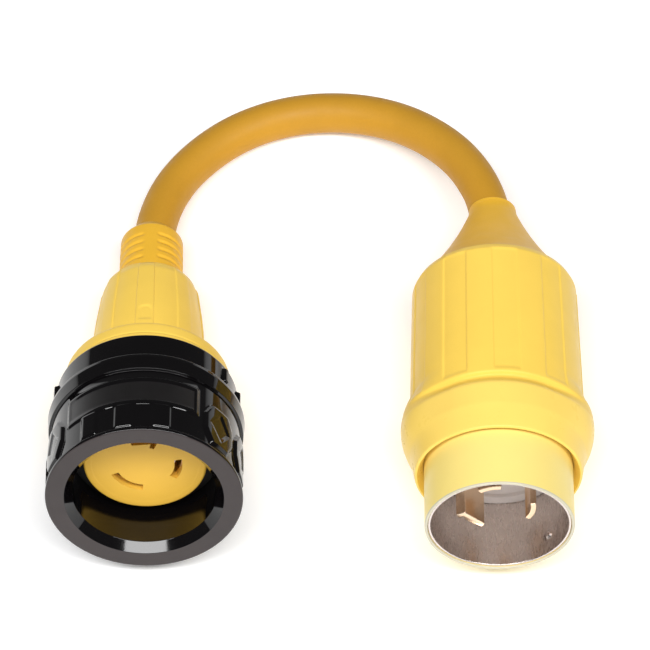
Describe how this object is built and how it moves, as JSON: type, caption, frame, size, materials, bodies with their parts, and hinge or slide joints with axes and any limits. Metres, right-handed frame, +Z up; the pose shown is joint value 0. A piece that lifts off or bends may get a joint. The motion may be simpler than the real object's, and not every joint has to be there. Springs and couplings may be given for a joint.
{
  "type": "power adapter dogbone",
  "caption": "Short thick power cord joining a round locking connector in a black threaded sealing ring to a larger round locking plug in a yellow moulded boot.",
  "frame": {"origin": "on the floor, under the middle of the box of the connector and the plug", "axes": "+Z up; both mouths face -Y; +X points from the connector to the plug"},
  "size_m": [0.2092, 0.2232, 0.0817],
  "materials": {
    "ring_black": "gloss moulded nylon, satin front lip",
    "retainer_nylon": "natural nylon",
    "boot_yellow": "soft moulded PVC, satin",
    "sleeve_yellow": "soft moulded PVC, satin, a deeper yellow",
    "face_yellow": "glass-filled nylon, fine matt",
    "nose_yellow": "smooth moulded nylon with a cream rim",
    "gasket_black": "matt rubber",
    "brass": "bare brass",
    "shell_nickel": "nickel-plated steel, satin",
    "carrier_grey": "matt moulded insulator",
    "housing_black": "matt moulded nylon",
    "screw_steel": "zinc-plated steel",
    "cord_yellow": "matt thermoplastic jacket with a fine grain",
    "core_black": "smooth insulation",
    "core_white": "smooth insulation",
    "core_green": "smooth insulation"
  },
  "bodies": {
    "adapter": {"connector_boot": "boot_yellow", "connector_strain_relief": "sleeve_yellow", "contact_block": "face_yellow", "face_gasket": "gasket_black", "connector_terminal_screws": "screw_steel", "connector_housing": "housing_black", "hot_contact": "brass", "neutral_contact": "brass", "ground_contact": "brass", "connector_hot_core": "core_black", "connector_neutral_core": "core_white", "connector_ground_core": "core_green", "cord_jacket": "cord_yellow", "plug_boot": "boot_yellow", "plug_nose": "nose_yellow", "ground_shell": "shell_nickel", "blade_carrier": "carrier_grey", "blade_x": "brass", "blade_y": "brass", "blade_neutral": "brass", "plug_terminal_screws": "screw_steel", "ground_strap": "brass", "plug_housing": "housing_black", "plug_neck_collar": "sleeve_yellow", "plug_x_core": "core_black", "plug_neutral_core": "core_white", "plug_ground_core": "core_green"},
    "retainer": {"ring_retainer": "retainer_nylon"},
    "ring": {"sealing_ring": "ring_black"}
  },
  "joints": [
    {"name": "ring_float", "type": "slide", "parent": "adapter", "child": "retainer", "axis": [0, -0.9774, 0.2113], "range_m": [-0.001, 0.0015]},
    {"name": "ring_spin", "type": "hinge", "parent": "retainer", "child": "ring", "pos_m": [-0.0668, -0.0659, 0.0452], "axis": [0, -0.9774, 0.2113], "continuous": true}
  ]
}
